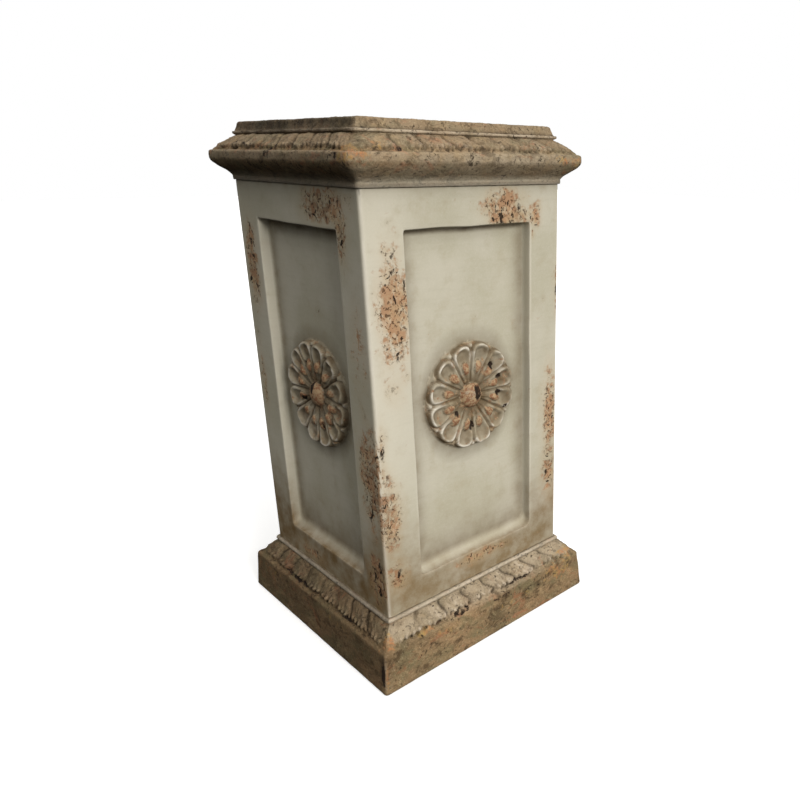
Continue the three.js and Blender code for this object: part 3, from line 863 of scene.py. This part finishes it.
# pale worn stone together with painted light on the lit faces
stone = blend(times(pale, spread(patchy, 0.3, 0.6, (0.45, 0.9))), stone, shade("a09079"))
sandy = noise(lying.outputs["Vector"], 62, 5, 0.65, 0.6)
stone = blend(spread(sandy, 0.5, 0.68, (0.0, 0.6)), stone, shade("a28a66"))
rusty = noise(lying.outputs["Vector"], 48, 6, 0.65, 0.8)
stone = blend(spread(rusty, 0.55, 0.68, (0.0, 0.65)), stone, shade("9a6546"))
umber = noise(lying.outputs["Vector"], 70, 6, 0.7, 0.6)
stone = blend(spread(umber, 0.36, 0.5, (0.78, 0.0)), stone, shade("4a3a27"))
stone = blend(spread(grain, 0.35, 0.65, (0.24, 0.0)), stone, shade("453827"))
stone = blend(spread(grain, 0.54, 0.72, (0.0, 0.24)), stone, shade("bfae92"))
# more pale stone together with painted light
stone = blend(times(pale, spread(patchy, 0.3, 0.7, (0.15, 0.5))), stone, shade("aa9a80"))
# painted highlight on ridges and edges, together with wear
stone = blend(times(ridge, spread(patchy, 0.35, 0.65, (0.2, 0.8))), stone, shade("c0b09a"))
orange = blend(spread(patchy, 0.4, 0.6), shade("a8704a"), shade("a0844f"))
bared = spread(plus(rub, times(plus(ragged, -0.5), 2.6)), 0.55, 0.9, (0.0, 0.8))
stone = blend(times(bared, spread(speck, 0.4, 0.56, (1.0, 0.3))), stone, orange)
# darker wash, with painted shade on the left side's plinth
stone = blend(times(stain, spread(patchy, 0.3, 0.7, (0.75, 0.35))), stone, shade("4d3722"))
pitted = times(spread(speck, 0.54, 0.66, (0.0, 0.85)), spread(patchy, 0.46, 0.62, (0.08, 1.0)))
stone = blend(pitted, stone, shade("30261b"))
# near-black glaze with painted shade in creases, slits, pits, under the cap and on the shaded left side's mouldings
stone = blend(times(hollow, spread(patchy, 0.25, 0.6, (0.98, 0.7))), stone, shade("231b13"))
surface = blend(ornament, paint, stone)
lost = times(spread(plus(chip, times(plus(ragged, -0.5), 2.2)), 0.5, 0.7), spread(speck, 0.3, 0.45, (0.5, 1.0)))
surface = blend(lost, surface, shade("2a2018"))
connect(surface, shader.inputs["Base Color"])
shader.inputs["Roughness"].default_value = 0.7
shader.inputs["Specular IOR Level"].default_value = 0.12

# Fine relief: grain and pits on the stone, brush marks on the paint, sunken flakes and chips.
stoneRelief = plus(times(grain, 0.6), plus(times(ragged, 3.0), times(spread(speck, 0.55, 0.72), -1.2)))
paintRelief = plus(times(stroke, 0.12), plus(times(bare, -0.35), times(plus(black, vein), -0.8)))
relief = plus(times(stoneRelief, ornament), times(paintRelief, calc("SUBTRACT", 1.0, ornament)))
bump = tree.nodes.new("ShaderNodeBump")
bump.inputs["Distance"].default_value = 0.0012
bump.inputs["Strength"].default_value = 0.8
connect(relief, bump.inputs["Height"])
connect(bump.outputs["Normal"], shader.inputs["Normal"])
castingMesh.materials.append(resin)

# A wide pale floor under the column.
floorForm = dict(half=12.0, colour="f6f5f3", glow=0.3)
h = floorForm["half"]
floorMesh = bpy.data.meshes.new("studioFloor")
floorMesh.from_pydata([(-h, -h, 0), (h, -h, 0), (h, h, 0), (-h, h, 0)], [], [(0, 1, 2, 3)])
studioFloor = bpy.data.objects.new("studioFloor", floorMesh)
bpy.context.scene.collection.objects.link(studioFloor)
paper = bpy.data.materials.new("palePaper")
paper.use_nodes = True
sheet = paper.node_tree.nodes["Principled BSDF"]
sheet.inputs["Base Color"].default_value = shade(floorForm["colour"])
sheet.inputs["Roughness"].default_value = 0.9
sheet.inputs["Emission Color"].default_value = (1, 1, 1, 1)
sheet.inputs["Emission Strength"].default_value = floorForm["glow"]
floorMesh.materials.append(paper)
studioFloor.visible_diffuse = False    # the white floor throws no light back up
studioFloor.visible_glossy = False

# Two broad soft suns: the key in front and a little above, and a weak one overhead for the floor and the ledges.
lampForms = [
    dict(name="keyLamp", place=(-0.12, -2.4, 0.9), spread=30.0, strength=3.05, colour=(1.0, 0.99, 0.97)),
    dict(name="topLamp", place=(0.2, -0.6, 2.4), spread=70.0, strength=0.7, colour=(1.0, 1.0, 1.0)),
]
for form in lampForms:
    lamp = bpy.data.lights.new(form["name"], "SUN")
    lamp.energy = form["strength"]
    lamp.angle = np.radians(form["spread"])
    lamp.color = form["colour"]
    lampObject = bpy.data.objects.new(form["name"], lamp)
    lampObject.location = form["place"]
    lampObject.rotation_euler = (-Vector(form["place"])).to_track_quat("-Z", "Y").to_euler()
    bpy.context.scene.collection.objects.link(lampObject)

scene = bpy.context.scene
world = bpy.data.worlds.new("studio")
scene.world = world
world.use_nodes = True
sky = world.node_tree
background = sky.nodes["Background"]
background.inputs["Color"].default_value = (1.0, 1.0, 1.0, 1.0)
seen = sky.nodes.new("ShaderNodeLightPath").outputs["Is Camera Ray"]
heading = sky.nodes.new("ShaderNodeSeparateXYZ")    # light from above is stronger than light from below
sky.links.new(sky.nodes.new("ShaderNodeTexCoord").outputs["Generated"], heading.inputs[0])
glow = sky.nodes.new("ShaderNodeMapRange")
for name, number in (("From Min", -0.15), ("From Max", 1.0), ("To Min", 0.02), ("To Max", 0.93)):
    glow.inputs[name].default_value = number
sky.links.new(heading.outputs["Z"], glow.inputs["Value"])
backdrop = sky.nodes.new("ShaderNodeMix")    # plain white behind the object
backdrop.inputs["B"].default_value = 1.0
sky.links.new(seen, backdrop.inputs["Factor"])
sky.links.new(glow.outputs["Result"], backdrop.inputs["A"])
sky.links.new(backdrop.outputs["Result"], background.inputs["Strength"])
scene.view_settings.view_transform = "Standard"

# The camera stands where the photograph was taken from; the shift sets the picture's middle beside the object.
cameraForm = dict(
    place=(-0.6275, -0.9306, 0.7178), heading=46.508, tilt=-18.746, roll=0.885, lens=32.168, shift=(-0.20, 0.0))
heading, tilt, roll = np.radians([cameraForm["heading"], cameraForm["tilt"], cameraForm["roll"]])
ahead = np.array([np.sin(heading) * np.cos(tilt), np.cos(heading) * np.cos(tilt), np.sin(tilt)])
right = np.cross(ahead, (0, 0, 1))
right /= np.linalg.norm(right)
upright = np.cross(right, ahead)
rightward = np.cos(roll) * right + np.sin(roll) * upright
upward = np.cos(roll) * upright - np.sin(roll) * right
stand = np.eye(4)
stand[:3] = np.column_stack([rightward, upward, -ahead, cameraForm["place"]])
cameraData = bpy.data.cameras.new("studioCamera")
cameraData.lens = cameraForm["lens"]
cameraData.shift_x, cameraData.shift_y = cameraForm["shift"]
cameraData.clip_start = 0.01
camera = bpy.data.objects.new("studioCamera", cameraData)
camera.matrix_world = Matrix(stand.tolist())
scene.collection.objects.link(camera)
scene.camera = camera

print("scene done")
